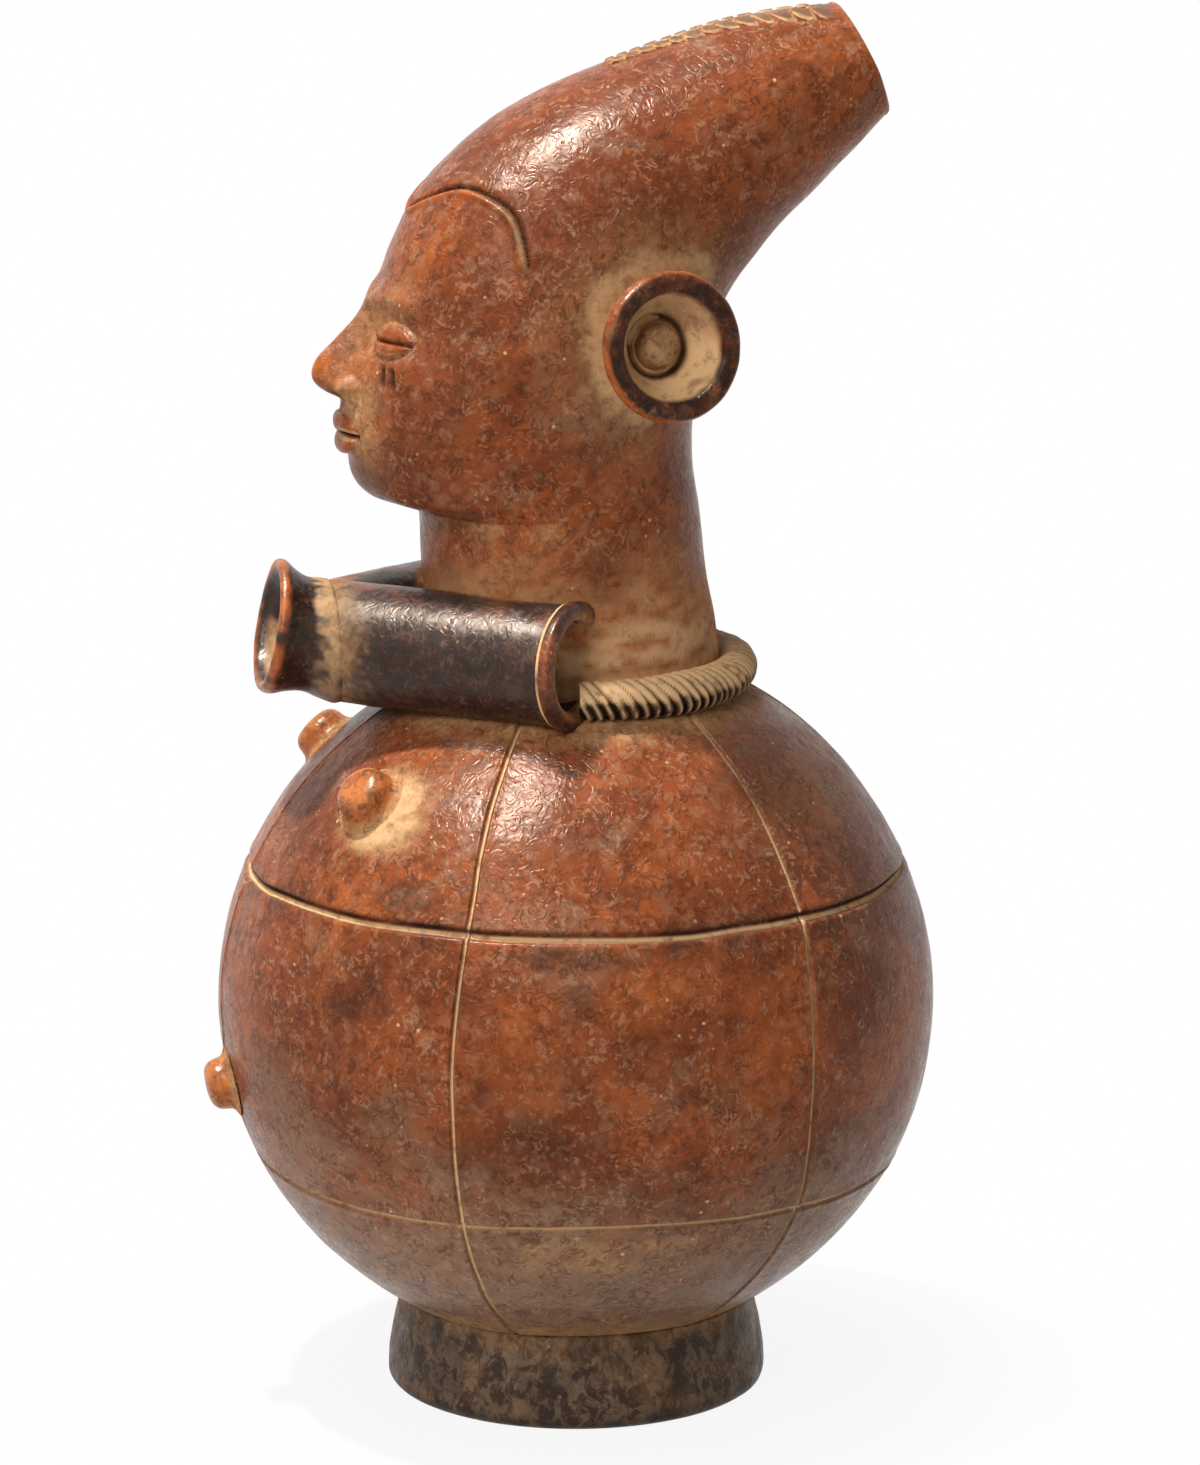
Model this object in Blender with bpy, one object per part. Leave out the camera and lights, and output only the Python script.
"""Hand-built earthenware vessel: a globe on a ring foot, a long-skulled head for a neck and a forked spout.

Metres, +Z up. The figure faces -Y and its left side is +X. The origin is on the globe's axis, on the floor.
Every piece of clay that the potter shaped and luted on is one object.
"""

import math

import bmesh
import bpy
import numpy as np
from mathutils import Matrix, Vector

MM = 0.001

# Joints: two pieces of clay that meet stay this far apart.
SEAT = 0.3 * MM
# A cutter made of flat facets stands this much further off a rounded seat.
FACET_ROOM = 0.2 * MM

# Globe
BELLY_RADIUS = 82.3 * MM
BELLY_LOWER_DEPTH = 80 * MM
BELLY_WALL = 6 * MM
BELLY_ROW_STEP = 9.5
SECTORS = 6
PLAIN_COLUMNS = 5
MERIDIAN_GROOVE_WIDTH = 1.7 * MM
MERIDIAN_GROOVE_DEPTH = 0.8 * MM
UPPER_GROOVE_LATITUDE = 23.4
UPPER_GROOVE_WIDTH = 2.3 * MM
UPPER_GROOVE_DEPTH = 1.0 * MM
LOWER_GROOVE_LATITUDE = -25.1
LOWER_GROOVE_WIDTH = 1.5 * MM
LOWER_GROOVE_DEPTH = 0.7 * MM

# Ring foot
FOOT_HEIGHT = 21.7 * MM
FOOT_TOP_RADIUS = 40.8 * MM
FOOT_BASE_RADIUS = 44.2 * MM
FOOT_WALL = 9.5 * MM
FOOT_EDGE_RADIUS = 4 * MM

# Neck
NECK_RISE = 32.5 * MM
NECK_BASE_RADIUS = 33 * MM
NECK_TOP_RADIUS = 32 * MM
NECK_LEAN = -4 * MM
NECK_WALL = 6 * MM

# Head. Each row is one section: its front point, its back point and its half width.
# Points are (y, height above the neck's top), in millimetres.
HEAD_SECTIONS = (
    ((-36.0, 0.0), (28.0, 0.0), 32.0),
    ((-39.5, 2.2), (27.2, 5.0), 32.3),
    ((-47.5, 5.2), (26.6, 10.0), 32.8),
    ((-51.0, 12.0), (26.4, 15.0), 33.4),
    ((-52.6, 19.5), (26.6, 20.0), 34.0),
    ((-52.0, 27.5), (27.3, 25.0), 34.5),
    ((-50.2, 36.0), (28.6, 30.3), 35.0),
    ((-47.4, 44.0), (29.4, 35.8), 35.3),
    ((-45.0, 51.4), (31.2, 41.2), 35.2),
    ((-41.6, 61.2), (33.6, 46.8), 34.6),
    ((-36.2, 71.3), (37.2, 52.6), 33.5),
    ((-27.4, 81.6), (41.8, 58.4), 31.8),
    ((-16.0, 90.4), (47.0, 64.2), 29.4),
    ((-1.8, 97.5), (53.1, 69.9), 26.4),
    ((15.6, 103.6), (58.7, 75.5), 23.0),
    ((36.0, 109.7), (64.5, 81.1), 19.1),
    ((58.4, 112.9), (70.6, 87.2), 14.4),
)
HEAD_WALL = 5.5 * MM
CROWN_MOUTH_WALL = 3.6 * MM
HEAD_RINGS = 25
HEAD_BORE_RINGS = 11
HEAD_POINTS = 28

# Plaited band along the crown, placed by section number along the head
BRAID_START = 13.6
BRAID_END = 15.85
BRAID_LEAVES = 11
BRAID_START_HALF_WIDTH = 3 * MM
BRAID_END_HALF_WIDTH = 8 * MM
BRAID_EDGE_HEIGHT = 0.4 * MM
BRAID_LEAF_HEIGHT = 1.0 * MM
BRAID_LEAF_GROOVE = 0.5 * MM
BRAID_SLANT = 0.2

# Ear spools
EAR_CENTRE = Vector((41.5 * MM, 14.8 * MM, 42.8 * MM))
EAR_TURN = 16.0
EAR_LIFT = 7.0
EAR_RIM_RADIUS = 17 * MM
EAR_ROOT_RADIUS = 12.8 * MM
EAR_RIM_WIDTH = 5.2 * MM
EAR_DEPTH = 12.5 * MM
EAR_FLOOR_RADIUS = 8.6 * MM
EAR_FLOOR = 2.5 * MM
EAR_ROOT = 18 * MM
STUD_RADIUS = 5 * MM
STUD_HEIGHT = 4.4 * MM

# Face, on equal thirds from hairline to brow, nose base and chin
CHIN_SECTION = 2.3
HAIRLINE_SECTION = 10.1
NOSE_HALF_WIDTH = 7 * MM
NOSE_BRIDGE_HALF_WIDTH = 2.6 * MM
NOSE_REACH = 9 * MM
NOSE_STATIONS = 8
MOUTH_HALF_WIDTH = 10.4 * MM
LIP_RADIUS = 2.7 * MM
LIP_SPACING = 2.7 * MM
EYE_HALF_WIDTH = 7 * MM
EYE_SPACING = 14 * MM
EYELID_RADIUS = 1.3 * MM
EYELID_ARCH = 3 * MM

# Knobs on the globe
BREAST_LATITUDE = 42.6
BREAST_LONGITUDE = 30.0
BREAST_RADIUS = 6.5 * MM
BREAST_HEIGHT = 5.8 * MM
NAVEL_LATITUDE = -11.5
NAVEL_RADIUS = 5.8 * MM
NAVEL_HEIGHT = 5 * MM

# Rope collar
ROPE_RADIUS = 4.7 * MM
ROPE_NOTCH = 1.0 * MM
ROPE_STRANDS_PER_TURN = 74
ROPE_SLANT = 0.05
ROPE_POINTS = 7
ROPE_TUCK = 1.5 * MM
ROPE_BED = 1.6 * MM

# Forked spout. An arm's middle line passes the neck's foot at the offset, and ends this far past it.
ARM_OFFSET = 1.24 * MM
ARM_PAST_NECK = 18.96 * MM
ARM_SPREAD = 38.5
ARM_RADIUS = 13.8 * MM
ARM_WALL = 3.7 * MM
ARM_BED = 1.3 * MM
ARM_POINTS = 24
RIM_WIDTH = 3.2 * MM
RIM_PROUD = 1.0 * MM
MOUTH_SETBACK = 2 * MM
MOUTH_LENGTH = 13.8 * MM
MOUTH_CLIMB = 17.0
MOUTH_TILT = 10.0
MOUTH_WAIST_RADIUS = 12.8 * MM
MOUTH_LIP_RADIUS = 15 * MM
MOUTH_LIP_WALL = 3 * MM
PORT_RADIUS = 4 * MM
PORT_ALONG_ARM = 29 * MM

# Heights that follow from the sizes above
BELLY_DROP = BELLY_LOWER_DEPTH / BELLY_RADIUS
BELLY_CENTRE = FOOT_HEIGHT + BELLY_DROP * math.sqrt((BELLY_RADIUS + SEAT) ** 2 - FOOT_TOP_RADIUS**2)
NECK_TOP = BELLY_CENTRE + BELLY_RADIUS + NECK_RISE
FORK_REACH = (NECK_BASE_RADIUS + ARM_OFFSET) / math.sin(math.radians(ARM_SPREAD))
ARM_LENGTH = FORK_REACH * math.cos(math.radians(ARM_SPREAD)) + ARM_PAST_NECK
ARM_DIRECTION = Vector((math.sin(math.radians(ARM_SPREAD)), math.cos(math.radians(ARM_SPREAD)), 0))
PORT_POINT = Vector((0, -FORK_REACH, 0)) + ARM_DIRECTION * PORT_ALONG_ARM
ARM_HEIGHT = (
    BELLY_CENTRE + math.sqrt(BELLY_RADIUS**2 - PORT_POINT.length_squared) + ARM_RADIUS - ARM_BED
)
ARM_START = Vector((0, -FORK_REACH, ARM_HEIGHT))
FACE_THIRD = (HAIRLINE_SECTION - CHIN_SECTION) / 3
NOSE_BASE_SECTION = CHIN_SECTION + FACE_THIRD
BROW_SECTION = CHIN_SECTION + 2 * FACE_THIRD
MOUTH_SECTION = NOSE_BASE_SECTION - FACE_THIRD / 3
EYE_SECTION = BROW_SECTION - FACE_THIRD / 3.4

# Colours: (red, green, blue), roughness
CLAY = ((0.32, 0.105, 0.045), 0.42)
WORN_CLAY = ((0.45, 0.17, 0.06), 0.5)
SMOKED_CLAY = ((0.05, 0.036, 0.032), 0.38)
FOOT_CLAY = ((0.085, 0.062, 0.042), 0.7)
DUSTY_CLAY = ((0.34, 0.22, 0.115), 0.75)


def clear_scene():
    for old in list(bpy.data.objects):
        bpy.data.objects.remove(old, do_unlink=True)


def material(name, finish):
    """One fired-clay finish, shared by the pieces that have it."""
    found = bpy.data.materials.get(name)
    if found:
        return found
    made = bpy.data.materials.new(name)
    made.use_nodes = True
    shader = made.node_tree.nodes["Principled BSDF"]
    colour, roughness = finish
    shader.inputs["Base Color"].default_value = (*colour, 1.0)
    shader.inputs["Roughness"].default_value = roughness
    shader.inputs["Metallic"].default_value = 0.0
    return made


def add_object(name, mesh, finish_name=None, finish=None):
    made = bpy.data.objects.new(name, mesh)
    bpy.context.scene.collection.objects.link(made)
    if finish_name:
        mesh.materials.append(material(finish_name, finish))
        mesh.shade_smooth()
        mesh.set_sharp_from_angle(angle=math.radians(40))
    return made


def hide_cutter(cutter):
    cutter.hide_render = True
    cutter.display_type = "WIRE"
    return cutter


def loft_mesh(name, rings, wrap=False):
    """Skin over rings of equal point counts. A ring of one point is a pole, and wrap closes the loop."""
    shape = bmesh.new()
    rows = [[shape.verts.new(point) for point in ring] for ring in rings]
    pairs = list(zip(rows, rows[1:]))
    if wrap:
        pairs.append((rows[-1], rows[0]))
    for low, high in pairs:
        count = max(len(low), len(high))
        for i in range(count):
            j = (i + 1) % count
            if len(low) == 1:
                shape.faces.new((low[0], high[j], high[i]))
            elif len(high) == 1:
                shape.faces.new((low[i], low[j], high[0]))
            else:
                shape.faces.new((low[i], low[j], high[j], high[i]))
    if not wrap:
        for ring in (rows[0], rows[-1]):
            if len(ring) > 1:
                shape.faces.new(ring)
    bmesh.ops.recalc_face_normals(shape, faces=shape.faces)
    if shape.calc_volume(signed=True) < 0:
        bmesh.ops.reverse_faces(shape, faces=shape.faces)
    mesh = bpy.data.meshes.new(name)
    shape.to_mesh(mesh)
    shape.free()
    return mesh


def turned_rings(profile, points, place=Matrix.Identity(4)):
    """Rings turned about the local Z axis through (radius, height) pairs. A radius of 0 makes a pole."""
    rings = []
    for radius, height in profile:
        if radius == 0:
            rings.append([place @ Vector((0, 0, height))])
            continue
        angles = [2 * math.pi * i / points for i in range(points)]
        rings.append([place @ Vector((radius * math.cos(a), radius * math.sin(a), height)) for a in angles])
    return rings


def arc_points(centre, radius, start, end, steps):
    """(radius, height) pairs along an arc, with angles in degrees from the radius axis."""
    angles = [math.radians(start + (end - start) * i / steps) for i in range(steps + 1)]
    return [(centre[0] + radius * math.cos(a), centre[1] + radius * math.sin(a)) for a in angles]


def frame_along(origin, direction):
    """Placement whose local Z axis runs along direction from origin."""
    return Matrix.Translation(origin) @ Vector(direction).to_track_quat("Z", "Y").to_matrix().to_4x4()


def cut(piece, cutters):
    """Takes each cutter out of the piece."""
    for cutter in cutters:
        step = piece.modifiers.new(f"cut by {cutter.name}", "BOOLEAN")
        step.operation = "DIFFERENCE"
        step.solver = "EXACT"
        step.object = cutter
    return piece


def sphere_depth(radius, distance):
    """Height above a sphere's centre of its surface, at a distance from its axis."""
    return math.sqrt(radius**2 - distance**2)


# Head surface


def head_section(t):
    """Front point, back point and half width of the head at section t, on a smooth curve."""
    rows = [(*front, *back, width) for front, back, width in HEAD_SECTIONS]
    table = np.array(rows)
    last = len(table) - 1
    i = min(int(t), last - 1)
    f = t - i
    before = table[max(i - 1, 0)]
    start = table[i]
    end = table[i + 1]
    after = table[min(i + 2, last)]
    tangent_in = (end - before) / 2
    tangent_out = (after - start) / 2
    row = (
        (2 * f**3 - 3 * f**2 + 1) * start
        + (f**3 - 2 * f**2 + f) * tangent_in
        + (3 * f**2 - 2 * f**3) * end
        + (f**3 - f**2) * tangent_out
    ) * MM
    front = Vector((0, row[0], NECK_TOP + row[1]))
    back = Vector((0, row[2], NECK_TOP + row[3]))
    return front, back, row[4]


def head_point(t, angle, grow=0.0):
    """Point on the head at section t, angle round from the front midline towards +X, grown outwards."""
    front, back, half_width = head_section(t)
    centre = (front + back) / 2
    along = front - centre
    reach = along.length + grow
    return (
        centre
        + along.normalized() * reach * math.cos(angle)
        + Vector((1, 0, 0)) * (half_width + grow) * math.sin(angle)
    )


def head_normal(t, angle):
    """Outward direction of the head's surface."""
    step = 0.02
    t = min(max(t, step), len(HEAD_SECTIONS) - 1 - step)
    across = head_point(t, angle + step) - head_point(t, angle - step)
    up = head_point(t + step, angle) - head_point(t - step, angle)
    return across.cross(up).normalized()


def head_angle(t, x):
    """Angle round section t at which the surface lies x to the side of the midline, in front."""
    return math.asin(x / head_section(t)[2])


def head_ring(t, grow=0.0):
    return [head_point(t, 2 * math.pi * i / HEAD_POINTS, grow) for i in range(HEAD_POINTS)]


def head_sections(count):
    last = len(HEAD_SECTIONS) - 1
    return [last * i / (count - 1) for i in range(count)]


def make_head_cutter():
    """The head's outside, closed and stood off by the seat, for what is luted onto it."""
    rings = [head_ring(t, SEAT + FACET_ROOM) for t in head_sections(HEAD_RINGS)]
    return hide_cutter(add_object("head_seat", loft_mesh("head_seat", rings)))


def make_head():
    """Hollow long skull, open below to the neck and behind at the end of the crown."""
    last = len(HEAD_SECTIONS) - 1
    outside = [head_ring(t) for t in head_sections(HEAD_RINGS)]
    inside = []
    for t in reversed(head_sections(HEAD_BORE_RINGS)):
        wall = HEAD_WALL + (CROWN_MOUTH_WALL - HEAD_WALL) * (t / last) ** 2
        inside.append(head_ring(t, -wall))
    lift = Vector((0, 0, SEAT))
    outside[0] = [point + lift for point in outside[0]]
    inside[-1] = [point + lift for point in inside[-1]]
    return add_object("head", loft_mesh("head", outside + inside, wrap=True), "clay", CLAY)


# Globe, foot and neck


def belly_angles():
    """Longitudes of the mesh columns, with three to a groove, as (angle, depth) pairs."""
    half = MERIDIAN_GROOVE_WIDTH / 2 / BELLY_RADIUS
    sector = 2 * math.pi / SECTORS
    columns = []
    for k in range(SECTORS):
        middle = -math.pi / 2 + k * sector
        columns += [(middle - half, 0.0), (middle, MERIDIAN_GROOVE_DEPTH), (middle + half, 0.0)]
        room = sector - 2 * half
        step = room / (PLAIN_COLUMNS + 1)
        columns += [(middle + half + step * (i + 1), 0.0) for i in range(PLAIN_COLUMNS)]
    return columns


def belly_rows(top):
    """Latitudes of the mesh rows in degrees from below up to the mouth, as (latitude, depth) pairs."""
    rows = []
    for latitude, width, depth in (
        (LOWER_GROOVE_LATITUDE, LOWER_GROOVE_WIDTH, LOWER_GROOVE_DEPTH),
        (UPPER_GROOVE_LATITUDE, UPPER_GROOVE_WIDTH, UPPER_GROOVE_DEPTH),
    ):
        half = math.degrees(width / 2 / BELLY_RADIUS)
        rows += [(latitude - half, 0.0), (latitude, depth), (latitude + half, 0.0)]
    stops = [-90 + BELLY_ROW_STEP / 2, rows[0][0], rows[2][0], rows[3][0], rows[5][0], top]
    for low, high in ((0, 1), (2, 3), (4, 5)):
        count = max(1, round((stops[high] - stops[low]) / BELLY_ROW_STEP))
        first = 0 if low == 0 else 1
        last = count + 1 if high == 5 else count
        rows += [(stops[low] + (stops[high] - stops[low]) * i / count, 0.0) for i in range(first, last)]
    return sorted(rows)


def make_belly():
    """Hollow globe with incised panels, open at the top into the neck and at two ports into the spout."""
    bore = NECK_BASE_RADIUS - NECK_WALL
    columns = belly_angles()
    centre = Vector((0, 0, BELLY_CENTRE))

    def ring(latitude, radius, depth, grooved):
        level = math.radians(latitude)
        rise = math.sin(level) * (1.0 if latitude > 0 else BELLY_DROP)
        points = []
        for angle, groove in columns:
            r = radius - (max(depth, groove) if grooved else 0.0)
            flat = r * math.cos(level)
            points.append(
                centre + Vector((flat * math.cos(angle), flat * math.sin(angle), r * rise))
            )
        return points

    inner_radius = BELLY_RADIUS - BELLY_WALL
    top = math.degrees(math.acos(bore / BELLY_RADIUS))
    inner_top = math.degrees(math.acos(bore / inner_radius))
    rings = [[centre - Vector((0, 0, BELLY_DROP * BELLY_RADIUS))]]
    for latitude, depth in belly_rows(top):
        grooved = -80 < latitude < top - 0.5 * BELLY_ROW_STEP
        rings.append(ring(latitude, BELLY_RADIUS, depth, grooved))
    steps = 12
    for i in range(steps):
        latitude = inner_top + (-90 + BELLY_ROW_STEP / 2 - inner_top) * i / (steps - 1)
        rings.append(ring(latitude, inner_radius, 0.0, False))
    rings.append([centre - Vector((0, 0, BELLY_DROP * inner_radius))])
    piece = add_object("belly", loft_mesh("belly", rings), "clay", CLAY)
    return cut(piece, make_port_cutters())


def make_port_cutters():
    """Upright drills through the shoulder and the underside of each spout arm."""
    cutters = []
    for side in (1, -1):
        foot = Vector((side * PORT_POINT.x, PORT_POINT.y, ARM_HEIGHT - ARM_RADIUS - 2 * BELLY_WALL))
        rings = turned_rings(
            [(PORT_RADIUS, 0), (PORT_RADIUS, 2 * BELLY_WALL + ARM_RADIUS)],
            12,
            Matrix.Translation(foot),
        )
        cutters.append(hide_cutter(add_object("port_drill", loft_mesh("port_drill", rings))))
    return cutters


def make_belly_cutter():
    """The globe stood off by the seat, for what rests on its shoulder."""
    radius = BELLY_RADIUS + SEAT + FACET_ROOM
    profile = [(0, -radius)]
    profile += arc_points((0, 0), radius, -80, 80, 32)
    profile += [(0, radius)]
    rings = turned_rings(profile, 64, Matrix.Translation((0, 0, BELLY_CENTRE)))
    return hide_cutter(add_object("belly_seat", loft_mesh("belly_seat", rings)))


def make_foot_ring():
    """Conical ring under the globe, hollowed to the globe above and rounded at its floor edge."""
    seat = BELLY_RADIUS + SEAT
    inner_top = FOOT_TOP_RADIUS - FOOT_WALL
    inner_base = FOOT_BASE_RADIUS - FOOT_WALL
    seat_steps = 3
    profile = []
    for i in range(seat_steps + 1):
        radius = inner_top + (FOOT_TOP_RADIUS - inner_top) * i / seat_steps
        profile.append((radius, BELLY_CENTRE - BELLY_DROP * sphere_depth(seat, radius)))
    edge_centre = (FOOT_BASE_RADIUS - FOOT_EDGE_RADIUS, FOOT_EDGE_RADIUS)
    profile += arc_points(edge_centre, FOOT_EDGE_RADIUS, 10, -90, 4)
    profile += [(inner_base + FOOT_EDGE_RADIUS / 4, 0), (inner_base, FOOT_EDGE_RADIUS / 4)]
    mesh = loft_mesh("foot_ring", turned_rings(profile, 40), wrap=True)
    return add_object("foot_ring", mesh, "foot_clay", FOOT_CLAY)


def neck_ring(share, grow):
    """Ring of the neck at a share of its height, leaning forward to meet the head's lowest section."""
    front, back, half_width = head_section(0)
    base_y = 0.0
    top_y = (front.y + back.y) / 2
    ease = share * share * (3 - 2 * share)
    y = base_y + (top_y - base_y) * ease
    reach = NECK_BASE_RADIUS + ((back.y - front.y) / 2 - NECK_BASE_RADIUS) * ease + grow
    width = NECK_BASE_RADIUS + (half_width - NECK_BASE_RADIUS) * ease + grow
    base = BELLY_CENTRE + sphere_depth(BELLY_RADIUS, NECK_BASE_RADIUS)
    z = base + (NECK_TOP - base) * share
    angles = [2 * math.pi * i / HEAD_POINTS for i in range(HEAD_POINTS)]
    return [Vector((width * math.sin(a), y - reach * math.cos(a), z)) for a in angles]


def on_globe(ring):
    """The ring dropped onto the globe's shoulder, clear of it by the seat."""
    radius = BELLY_RADIUS + SEAT
    return [Vector((p.x, p.y, BELLY_CENTRE + sphere_depth(radius, p.xy.length))) for p in ring]


def make_neck():
    """Tube from the globe's mouth up to the jaw."""
    steps = 6
    shares = [i / steps for i in range(1, steps + 1)]
    outside = [on_globe(neck_ring(0, 0))] + [neck_ring(s, 0) for s in shares]
    inside = [neck_ring(s, -NECK_WALL) for s in reversed(shares)] + [on_globe(neck_ring(0, -NECK_WALL))]
    return add_object("neck", loft_mesh("neck", outside + inside, wrap=True), "clay", CLAY)


def make_neck_cutter():
    """The neck's outside, closed and stood off by the seat, sunk into the globe."""
    grow = SEAT + FACET_ROOM
    sunk = [point - Vector((0, 0, 3 * BELLY_WALL)) for point in neck_ring(0, grow)]
    rings = [sunk] + [neck_ring(i / 6, grow) for i in range(7)]
    return hide_cutter(add_object("neck_seat", loft_mesh("neck_seat", rings)))


# Knobs and collar


def make_knob(name, latitude, longitude, radius, height):
    """Rounded knob standing square on the globe, at degrees above its middle and round from the front."""
    level = math.radians(latitude)
    turn = math.radians(longitude)
    direction = Vector(
        (math.cos(level) * math.sin(turn), -math.cos(level) * math.cos(turn), math.sin(level))
    )
    seat = BELLY_RADIUS + SEAT
    profile = [(0, seat), (0.55 * radius, sphere_depth(seat, 0.55 * radius))]
    profile.append((radius, sphere_depth(seat, radius)))
    root = profile[-1][1]
    crown = seat + height
    steps = 4
    for i in range(1, steps + 1):
        turn = i / (steps + 1) * math.pi / 2
        profile.append((radius * math.cos(turn) ** 0.75, root + (crown - root) * math.sin(turn)))
    profile.append((0, crown))
    rings = turned_rings(profile, 16, frame_along((0, 0, BELLY_CENTRE), direction))
    return add_object(name, loft_mesh(name, rings), "worn_clay", WORN_CLAY)


def make_rope_collar(seats):
    """Twisted roll of clay in the corner of neck and shoulder, ending against the back of both arms."""
    away = SEAT + FACET_ROOM + ROPE_RADIUS - ROPE_BED
    ring_radius = NECK_BASE_RADIUS + away
    ring_height = BELLY_CENTRE + sphere_depth(BELLY_RADIUS + away, ring_radius)
    spread = math.radians(ARM_SPREAD)
    half_arc = spread + math.acos((ARM_PAST_NECK - ROPE_TUCK) / ring_radius)
    stations = 2 * round(ROPE_STRANDS_PER_TURN * half_arc / math.pi)
    rings = []
    for i in range(stations + 1):
        radius = ROPE_RADIUS - (ROPE_NOTCH if i % 2 else 0.0)
        ring = []
        for j in range(ROPE_POINTS):
            around = 2 * math.pi * j / ROPE_POINTS
            swing = -half_arc + 2 * half_arc * i / stations + ROPE_SLANT * math.sin(around)
            reach = ring_radius + radius * math.cos(around)
            height = ring_height + radius * math.sin(around)
            ring.append(Vector((reach * math.sin(swing), reach * math.cos(swing), height)))
        rings.append(ring)
    piece = add_object("rope_collar", loft_mesh("rope_collar", rings), "dusty_clay", DUSTY_CLAY)
    return cut(piece, seats)


# Forked spout


def arm_frame(side, along=0.0):
    """Placement on one spout arm's axis, with local Z running back along it."""
    direction = Vector((side * ARM_DIRECTION.x, ARM_DIRECTION.y, 0))
    return frame_along(ARM_START + direction * along, direction)


def make_arm_seat(side):
    """Plug as long as one arm and a rope wider, so that the collar ends flat against the arm's back."""
    radius = ARM_RADIUS + RIM_PROUD + 2 * ROPE_RADIUS
    rings = turned_rings([(radius, 0), (radius, ARM_LENGTH + SEAT)], ARM_POINTS, arm_frame(side))
    name = f"arm_seat_{side}"
    return hide_cutter(add_object(name, loft_mesh(name, rings)))


def half_space(name, origin, direction, size):
    """Block that fills the space on the far side of a plane."""
    place = frame_along(origin, direction)
    corners = [(-size, -size), (size, -size), (size, size), (-size, size)]
    rings = [[place @ Vector((x, y, z)) for x, y in corners] for z in (0, size)]
    return hide_cutter(add_object(name, loft_mesh(name, rings)))


def make_spout_arm(side, word, seats):
    """Tube from the fork back along the neck, halved at the midline where it meets its twin."""
    length = ARM_LENGTH - RIM_WIDTH - SEAT
    bore = ARM_RADIUS - ARM_WALL
    overrun = 2 * ARM_RADIUS
    profile = [(bore, -overrun), (ARM_RADIUS, -overrun), (ARM_RADIUS, length), (bore, length)]
    name = f"spout_arm_{word}"
    mesh = loft_mesh(name, turned_rings(profile, ARM_POINTS, arm_frame(side)), wrap=True)
    piece = add_object(name, mesh, "smoked_clay", SMOKED_CLAY)
    size = 4 * FORK_REACH
    middle = half_space(f"midline_{word}", (side * SEAT / 2, 0, ARM_HEIGHT), (-side, 0, 0), size)
    face = half_space(f"fork_face_{word}", (0, -FORK_REACH - MOUTH_SETBACK, ARM_HEIGHT), (0, -1, 0), size)
    return cut(piece, [middle, face, *seats])


def make_spout_rim(side, word, seats):
    """Raised lip round the open back end of an arm."""
    bore = ARM_RADIUS - ARM_WALL
    proud = ARM_RADIUS + RIM_PROUD
    start = ARM_LENGTH - RIM_WIDTH
    profile = [(bore, start), (ARM_RADIUS, start)]
    profile += [(proud, start + RIM_WIDTH / 3), (proud, ARM_LENGTH - RIM_WIDTH / 4)]
    profile += [(proud - RIM_PROUD / 2, ARM_LENGTH), (bore + ARM_WALL / 3, ARM_LENGTH)]
    name = f"spout_rim_{word}"
    mesh = loft_mesh(name, turned_rings(profile, ARM_POINTS, arm_frame(side)), wrap=True)
    return cut(add_object(name, mesh, "worn_clay", WORN_CLAY), seats)


def make_spout_mouth():
    """Short flared mouth on the front of the fork, tipped up a little."""
    spread = math.radians(ARM_SPREAD)
    base_width = ARM_RADIUS / math.cos(spread) - MOUTH_SETBACK * math.tan(spread)
    origin = Vector((0, -FORK_REACH - MOUTH_SETBACK - SEAT, ARM_HEIGHT))
    climb = math.radians(MOUTH_CLIMB)
    tilt = math.radians(MOUTH_TILT)

    def ring(share, width, height):
        lean = tilt * share
        middle = origin + MOUTH_LENGTH * share * Vector((0, -math.cos(climb), math.sin(climb)))
        up = Vector((0, math.sin(lean), math.cos(lean)))
        angles = [2 * math.pi * i / ARM_POINTS for i in range(ARM_POINTS)]
        return [middle + Vector((width * math.cos(a), 0, 0)) + up * height * math.sin(a) for a in angles]

    waist = MOUTH_WAIST_RADIUS
    lip = MOUTH_LIP_RADIUS
    outside = [
        ring(0.0, base_width, ARM_RADIUS),
        ring(0.16, (base_width + waist) / 2, (ARM_RADIUS + waist) / 2),
        ring(0.36, waist, waist),
        ring(0.62, waist + 0.25 * (lip - waist), waist + 0.25 * (lip - waist)),
        ring(0.88, lip, lip),
        ring(1.0, lip - 0.3 * MOUTH_LIP_WALL, lip - 0.3 * MOUTH_LIP_WALL),
    ]
    bore = waist - ARM_WALL
    lip_bore = lip - MOUTH_LIP_WALL
    inside = [
        ring(1.0, lip_bore + 0.3 * MOUTH_LIP_WALL, lip_bore + 0.3 * MOUTH_LIP_WALL),
        ring(0.88, lip_bore, lip_bore),
        ring(0.4, bore, bore),
        ring(0.0, base_width - ARM_WALL, ARM_RADIUS - ARM_WALL),
    ]
    mesh = loft_mesh("spout_mouth", outside + inside, wrap=True)
    return add_object("spout_mouth", mesh, "smoked_clay", SMOKED_CLAY)


# Ears, face and plait


def ear_frame(side):
    """Placement at the middle of an ear's rim, with local Z facing out of the ear."""
    turn = math.radians(EAR_TURN)
    lift = math.radians(EAR_LIFT)
    level = math.cos(lift)
    facing = Vector((side * math.cos(turn) * level, math.sin(turn) * level, math.sin(lift)))
    return frame_along(Vector((side * EAR_CENTRE.x, EAR_CENTRE.y, NECK_TOP + EAR_CENTRE.z)), facing)


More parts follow.
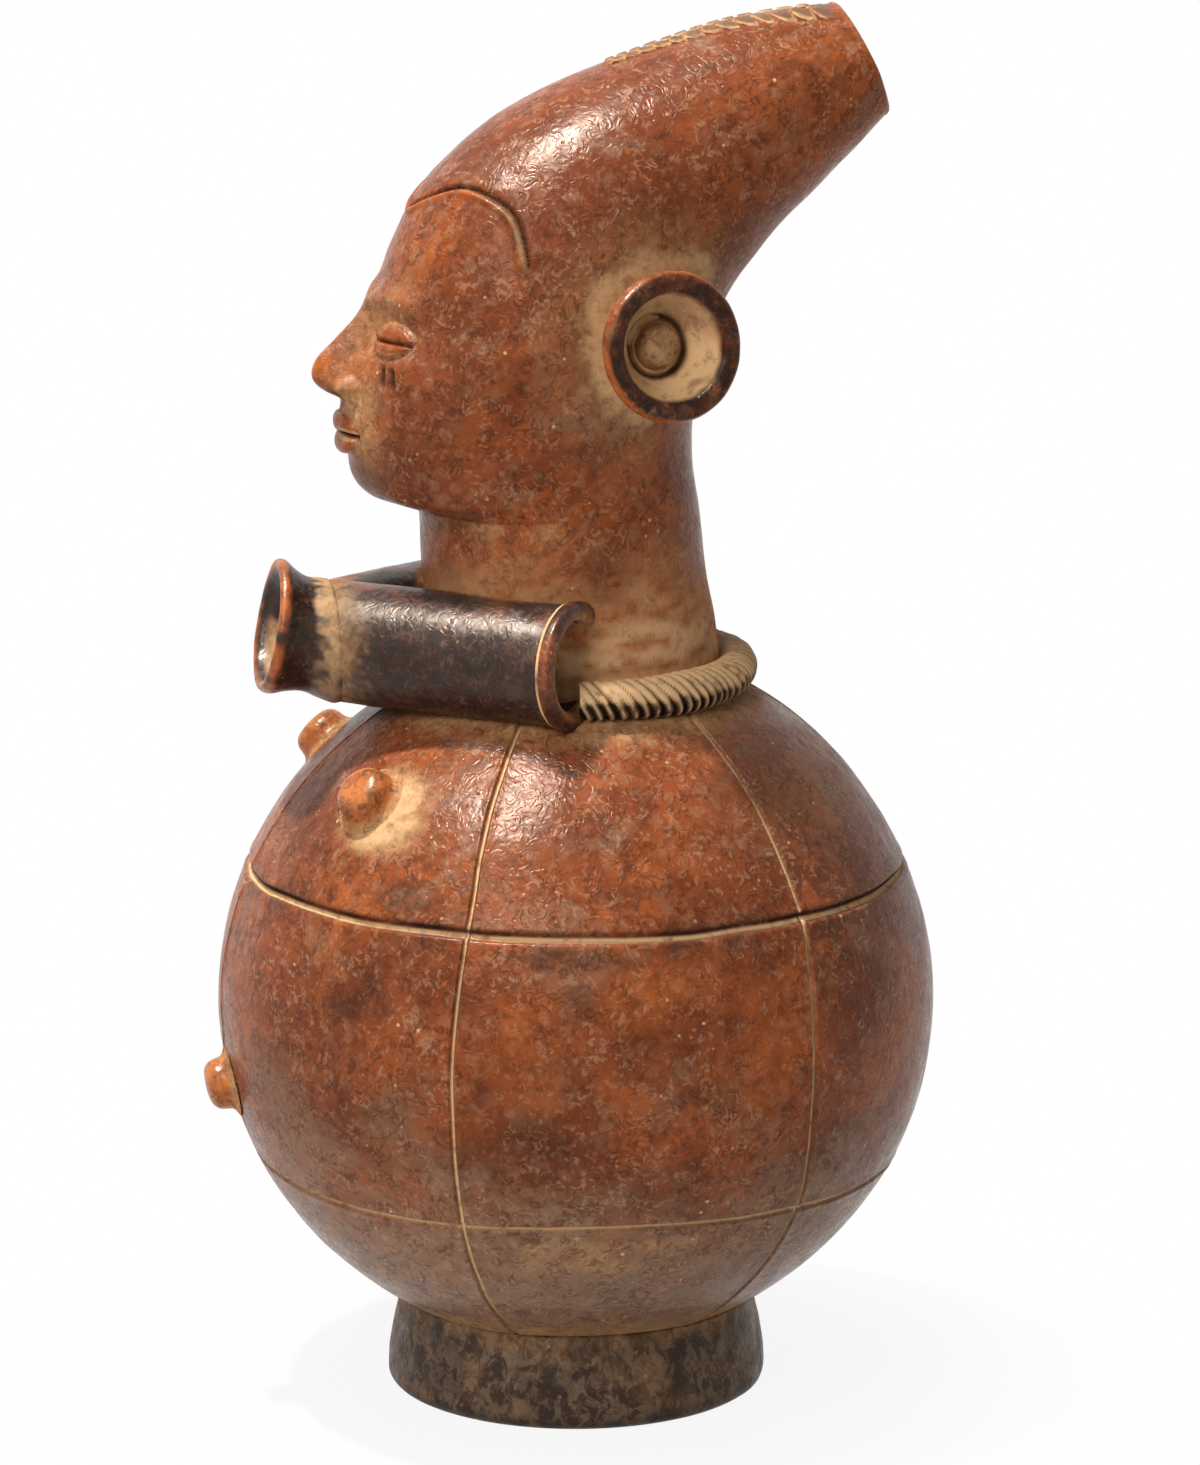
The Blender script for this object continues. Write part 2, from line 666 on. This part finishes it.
def make_ear(side, word, head_seat):
    """Dished ear spool with a thick rounded rim, luted to the side of the head."""
    rim_middle = EAR_RIM_RADIUS - EAR_RIM_WIDTH / 2
    half = EAR_RIM_WIDTH / 2
    profile = [(0, -EAR_ROOT), (EAR_ROOT_RADIUS, -EAR_ROOT), (EAR_ROOT_RADIUS, -EAR_DEPTH)]
    profile += arc_points((rim_middle, -half), half, -20, 170, 6)
    profile += [(EAR_FLOOR_RADIUS, -EAR_DEPTH + EAR_FLOOR), (0, -EAR_DEPTH + EAR_FLOOR)]
    name = f"ear_{word}"
    mesh = loft_mesh(name, turned_rings(profile, 24, ear_frame(side)))
    return cut(add_object(name, mesh, "clay", CLAY), [head_seat])


def make_ear_stud(side, word):
    """Domed stud on the floor of an ear spool."""
    floor = -EAR_DEPTH + EAR_FLOOR + SEAT
    profile = [(0, floor), (STUD_RADIUS, floor)]
    steps = 4
    for i in range(1, steps + 1):
        share = i / (steps + 1) * math.pi / 2
        profile.append((STUD_RADIUS * math.cos(share), floor + STUD_HEIGHT * math.sin(share)))
    profile.append((0, floor + STUD_HEIGHT))
    name = f"ear_stud_{word}"
    mesh = loft_mesh(name, turned_rings(profile, 18, ear_frame(side)))
    return add_object(name, mesh, "dusty_clay", DUSTY_CLAY)


def make_nose(head_seat):
    """Straight wedge from the brow to the nose base, widest at the wings."""
    rings = []
    for i in range(NOSE_STATIONS):
        share = i / (NOSE_STATIONS - 1)
        t = BROW_SECTION + (NOSE_BASE_SECTION - BROW_SECTION) * share
        front, back, _ = head_section(t)
        swell = math.sin(min(share / 0.86, 1.0) * math.pi / 2) ** 1.6
        close = 1.0 if share < 0.9 else 0.72
        reach = NOSE_REACH * (0.06 + 0.94 * swell) * close
        width = NOSE_BRIDGE_HALF_WIDTH + (NOSE_HALF_WIDTH - NOSE_BRIDGE_HALF_WIDTH) * swell**2
        outward = (front - back).normalized()
        ring = []
        for k in range(14):
            angle = 2 * math.pi * k / 14
            ring.append(
                front + outward * reach * math.cos(angle) + Vector((width * close * math.sin(angle), 0, 0))
            )
        rings.append(ring)
    return cut(add_object("nose", loft_mesh("nose", rings), "clay", CLAY), [head_seat])


def make_roll(name, path, radii, finish_name, finish, head_seat):
    """Tapered roll of clay along a path, pressed onto the head."""
    rings = []
    for i, point in enumerate(path):
        ahead = path[min(i + 1, len(path) - 1)] - path[max(i - 1, 0)]
        place = frame_along(point, ahead)
        rings += turned_rings([(radii[i], 0)], 10, place)
    mesh = loft_mesh(name, rings)
    return cut(add_object(name, mesh, finish_name, finish), [head_seat])


def make_lip(name, direction, head_seat):
    """Full lip bowed across the face, above or below the parting."""
    steps = 10
    path = []
    radii = []
    for i in range(steps + 1):
        across = -1 + 2 * i / steps
        fall = 1 - across * across
        front, back, _ = head_section(MOUTH_SECTION)
        x = MOUTH_HALF_WIDTH * across
        surface = head_point(MOUTH_SECTION, head_angle(MOUTH_SECTION, x))
        outward = head_normal(MOUTH_SECTION, head_angle(MOUTH_SECTION, x))
        lift = direction * (LIP_RADIUS * 0.62 + (LIP_SPACING - LIP_RADIUS * 0.5) * fall)
        path.append(surface + outward * LIP_RADIUS * 0.45 * fall + Vector((0, 0, lift)))
        radii.append(LIP_RADIUS * (0.38 + 0.62 * fall))
    return make_roll(name, path, radii, "worn_clay", WORN_CLAY, head_seat)


def make_eyelid(name, side, direction, head_seat):
    """Thin arched lid, above or below the closed eye."""
    steps = 8
    path = []
    radii = []
    for i in range(steps + 1):
        across = -1 + 2 * i / steps
        fall = 1 - across * across
        angle = head_angle(EYE_SECTION, side * (EYE_SPACING + EYE_HALF_WIDTH * across))
        outward = head_normal(EYE_SECTION, angle)
        lift = direction * (EYELID_RADIUS * 1.15 + (EYELID_ARCH - EYELID_RADIUS * 1.15) * fall)
        path.append(head_point(EYE_SECTION, angle) + outward * EYELID_RADIUS * 0.3 + Vector((0, 0, lift)))
        radii.append(EYELID_RADIUS * (0.7 + 0.3 * fall))
    return make_roll(name, path, radii, "clay", CLAY, head_seat)


def make_crown_braid():
    """Plaited band along the top of the skull: slanting leaves either side of a spine line."""
    stations = 2 * BRAID_LEAVES
    shares = (-1.0, -0.55, 0.0, 0.55, 1.0)
    spine_height = BRAID_LEAF_HEIGHT * 0.7
    heights = (BRAID_EDGE_HEIGHT, BRAID_LEAF_HEIGHT, spine_height, BRAID_LEAF_HEIGHT, BRAID_EDGE_HEIGHT)
    rings = []
    for i in range(stations + 1):
        sunk = BRAID_LEAF_GROOVE if i % 2 else 0.0
        half = BRAID_START_HALF_WIDTH + (BRAID_END_HALF_WIDTH - BRAID_START_HALF_WIDTH) * i / stations
        above = []
        below = []
        for share, height in zip(shares, heights):
            t = BRAID_START + (BRAID_END - BRAID_START) * i / stations - BRAID_SLANT * abs(share)
            angle = head_angle(t, half * share)
            point = head_point(t, angle)
            outward = head_normal(t, angle)
            leaf = height - (sunk if abs(share) < 1 else 0.0)
            above.append(point + outward * (SEAT + FACET_ROOM + leaf))
            below.append(point + outward * (SEAT + FACET_ROOM))
        rings.append(above + below[::-1])
    return add_object("crown_braid", loft_mesh("crown_braid", rings), "dusty_clay", DUSTY_CLAY)


def build():
    clear_scene()
    belly_seat = make_belly_cutter()
    neck_seat = make_neck_cutter()
    head_seat = make_head_cutter()
    make_foot_ring()
    make_belly()
    make_neck()
    make_head()
    make_crown_braid()
    make_knob("breast_left", BREAST_LATITUDE, BREAST_LONGITUDE, BREAST_RADIUS, BREAST_HEIGHT)
    make_knob("breast_right", BREAST_LATITUDE, -BREAST_LONGITUDE, BREAST_RADIUS, BREAST_HEIGHT)
    make_knob("navel", NAVEL_LATITUDE, 0.0, NAVEL_RADIUS, NAVEL_HEIGHT)
    make_spout_mouth()
    make_rope_collar([make_arm_seat(1), make_arm_seat(-1), neck_seat, belly_seat])
    make_nose(head_seat)
    make_lip("upper_lip", 1, head_seat)
    make_lip("lower_lip", -1, head_seat)
    for side, word in ((1, "left"), (-1, "right")):
        ports = make_port_cutters()
        make_spout_arm(side, word, [neck_seat, belly_seat, *ports])
        make_spout_rim(side, word, [neck_seat, belly_seat])
        make_ear(side, word, head_seat)
        make_ear_stud(side, word)
        make_eyelid(f"upper_eyelid_{word}", side, 1, head_seat)
        make_eyelid(f"lower_eyelid_{word}", side, -1, head_seat)


build()
